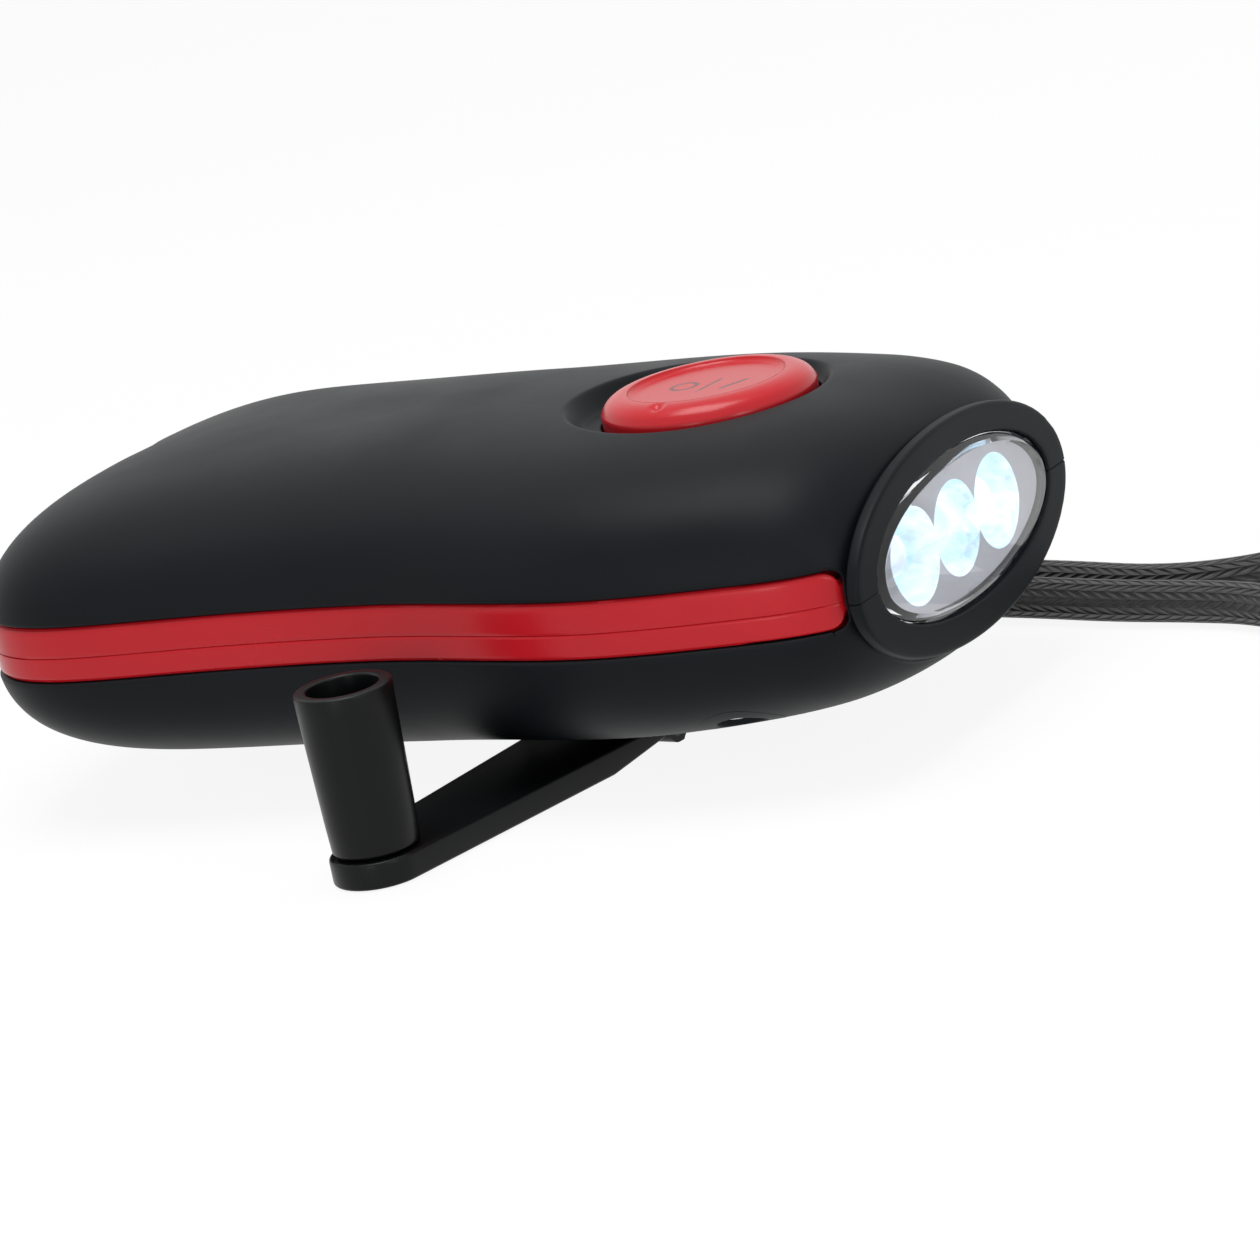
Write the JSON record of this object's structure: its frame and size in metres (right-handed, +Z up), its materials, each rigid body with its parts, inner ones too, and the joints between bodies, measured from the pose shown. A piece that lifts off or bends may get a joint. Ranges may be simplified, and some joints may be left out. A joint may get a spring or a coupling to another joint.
{
  "type": "hand crank flashlight",
  "caption": "Palm-sized hand crank torch with a pebble-shaped body, rubber grips over a red band, lamp head, push button, folding crank with a knob and a wrist strap.",
  "frame": {"origin": "on the crank axis, at the underside of the crank hub", "axes": "+X out of the lens, +Y to the torch's left, +Z up towards the button"},
  "size_m": [0.1564, 0.0951, 0.0346],
  "materials": {
    "black_rubber": "matt soft-touch",
    "red_plastic": "glossy moulded",
    "black_plastic": "satin moulded",
    "clear_lens": "polished clear",
    "pale_plate": "satin pale grey",
    "lamp_clear": "clear resin",
    "board_green": "solder mask",
    "white_plastic": "moulded",
    "steel": "plain",
    "brass_contact": "plain",
    "copper_wire": "enamelled winding",
    "magnet_grey": "sintered",
    "black_cord": "braided"
  },
  "bodies": {
    "torch": {"upper_grip": "black_rubber", "lower_grip": "black_rubber", "upper_shell": "red_plastic", "lower_shell": "red_plastic", "lens": "clear_lens", "reflector": "pale_plate", "lamp_left": "lamp_clear", "lamp_centre": "lamp_clear", "lamp_right": "lamp_clear", "lamp_board": "board_green", "strap_bar": "black_plastic", "strap_cord": "black_cord", "strap_string": "black_cord", "strap_clamp": "black_plastic", "gear_axle": "steel", "gear_plate": "white_plastic", "stator_yoke": "steel", "stator_coil": "copper_wire", "rotor_bridge": "white_plastic", "main_board": "board_green", "board_chips": "black_plastic", "switch_body": "black_plastic", "button_spring": "steel", "cell_lower": "steel", "cell_middle": "steel", "cell_upper": "steel", "cell_holder": "white_plastic", "cell_contact": "brass_contact", "case_screws": "steel", "gear_plate_screws": "steel", "board_screws": "steel"},
    "crank": {"crank_hub": "black_plastic", "drive_gear": "white_plastic", "hub_screw": "steel", "hinge_pin": "steel"},
    "arm": {"crank_arm": "black_plastic", "knob_screw": "steel"},
    "knob": {"knob": "black_plastic"},
    "button": {"button": "red_plastic", "switch_plunger": "white_plastic"},
    "compound_gear": {"compound_gear": "white_plastic"},
    "rotor": {"rotor_pinion": "white_plastic", "rotor_shaft": "steel", "rotor_magnet": "magnet_grey"}
  },
  "joints": [
    {"name": "crank_spin", "type": "hinge", "parent": "torch", "child": "crank", "pos_m": [0, 0, 0], "axis": [0, 0, 1], "range_deg": [-22, 38]},
    {"name": "arm_fold", "type": "hinge", "parent": "crank", "child": "arm", "pos_m": [-0.00066, -0.00435, 0.0013], "axis": [0.9888, -0.1495, 0], "range_deg": [0, 150]},
    {"name": "knob_spin", "type": "hinge", "parent": "arm", "child": "knob", "pos_m": [-0.00618, -0.04084, 0.01], "axis": [0, 0, 1], "continuous": true},
    {"name": "button_press", "type": "slide", "parent": "torch", "child": "button", "axis": [0, 0, -1], "range_m": [0, 0.0015], "stiffness_N_per_m": 400, "springref_m": -0.002, "deforming": ["button_spring"]},
    {"name": "compound_spin", "type": "hinge", "parent": "torch", "child": "compound_gear", "pos_m": [-0.0216, 0, 0.01], "axis": [0, 0, 1], "continuous": true},
    {"name": "rotor_spin", "type": "hinge", "parent": "torch", "child": "rotor", "pos_m": [-0.0098, -0.00826, 0.014], "axis": [0, 0, 1], "continuous": true}
  ],
  "couplings": [
    {"joint": "compound_spin", "follows": "crank_spin", "ratio": -3.5},
    {"joint": "rotor_spin", "follows": "crank_spin", "ratio": 10.5}
  ]
}
